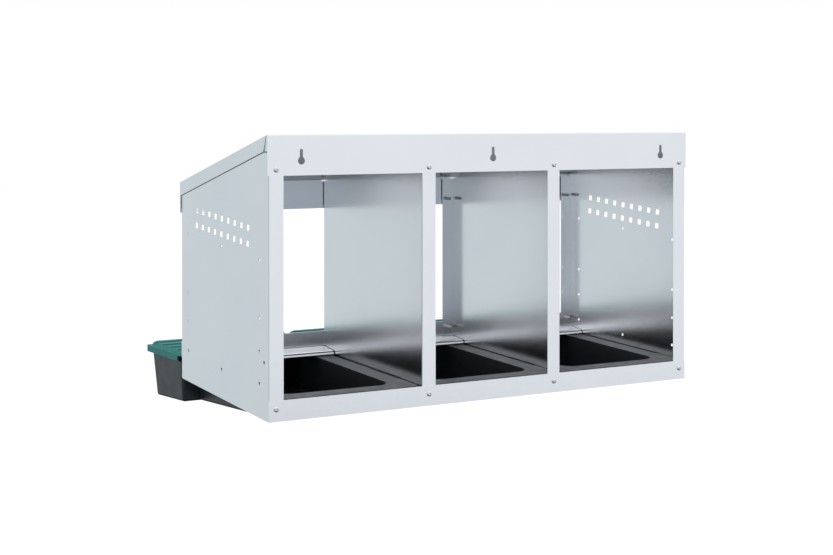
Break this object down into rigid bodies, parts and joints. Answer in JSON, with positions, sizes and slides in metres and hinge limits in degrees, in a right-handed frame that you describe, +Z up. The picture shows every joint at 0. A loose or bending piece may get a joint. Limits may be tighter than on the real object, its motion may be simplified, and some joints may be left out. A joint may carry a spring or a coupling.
{
  "type": "nesting box",
  "caption": "Wall-hung sheet-steel nesting box with open bays, roll-out plastic trays and hinged lids over the egg bins.",
  "frame": {"origin": "centre keyhole of the header, on the wall face", "axes": "+X to the object's right seen from the entrance side, +Y into the wall, -Y towards the entrances and egg bins, +Z up"},
  "size_m": [0.7236, 0.4518, 0.4123],
  "materials": {
    "galvanised_steel": "satin",
    "tray_plastic": "satin moulded",
    "lid_plastic": "satin moulded",
    "screw_steel": "zinc plated"
  },
  "bodies": {
    "case": {"roof": "galvanised_steel", "left_panel": "galvanised_steel", "right_panel": "galvanised_steel", "left_divider": "galvanised_steel", "right_divider": "galvanised_steel", "back_rail": "galvanised_steel", "front_rail": "galvanised_steel", "left_bay_left_runner": "galvanised_steel", "left_bay_right_runner": "galvanised_steel", "centre_bay_left_runner": "galvanised_steel", "centre_bay_right_runner": "galvanised_steel", "right_bay_left_runner": "galvanised_steel", "right_bay_right_runner": "galvanised_steel", "case_screws": "screw_steel"},
    "left_tray": {"left_tray": "tray_plastic"},
    "left_lid": {"left_lid": "lid_plastic"},
    "centre_tray": {"centre_tray": "tray_plastic"},
    "centre_lid": {"centre_lid": "lid_plastic"},
    "right_tray": {"right_tray": "tray_plastic"},
    "right_lid": {"right_lid": "lid_plastic"}
  },
  "joints": [
    {"name": "left_tray_slide", "type": "slide", "parent": "case", "child": "left_tray", "axis": [0, -0.9993, 0.038], "range_m": [0, 0.31]},
    {"name": "left_lid_hinge", "type": "hinge", "parent": "left_tray", "child": "left_lid", "pos_m": [-0.24, -0.317, -0.305], "axis": [-1, 0, 0], "range_deg": [0, 85]},
    {"name": "centre_tray_slide", "type": "slide", "parent": "case", "child": "centre_tray", "axis": [0, -0.9993, 0.038], "range_m": [0, 0.31]},
    {"name": "centre_lid_hinge", "type": "hinge", "parent": "centre_tray", "child": "centre_lid", "pos_m": [0, -0.317, -0.305], "axis": [-1, 0, 0], "range_deg": [0, 85]},
    {"name": "right_tray_slide", "type": "slide", "parent": "case", "child": "right_tray", "axis": [0, -0.9993, 0.038], "range_m": [0, 0.31]},
    {"name": "right_lid_hinge", "type": "hinge", "parent": "right_tray", "child": "right_lid", "pos_m": [0.24, -0.317, -0.305], "axis": [-1, 0, 0], "range_deg": [0, 85]}
  ]
}
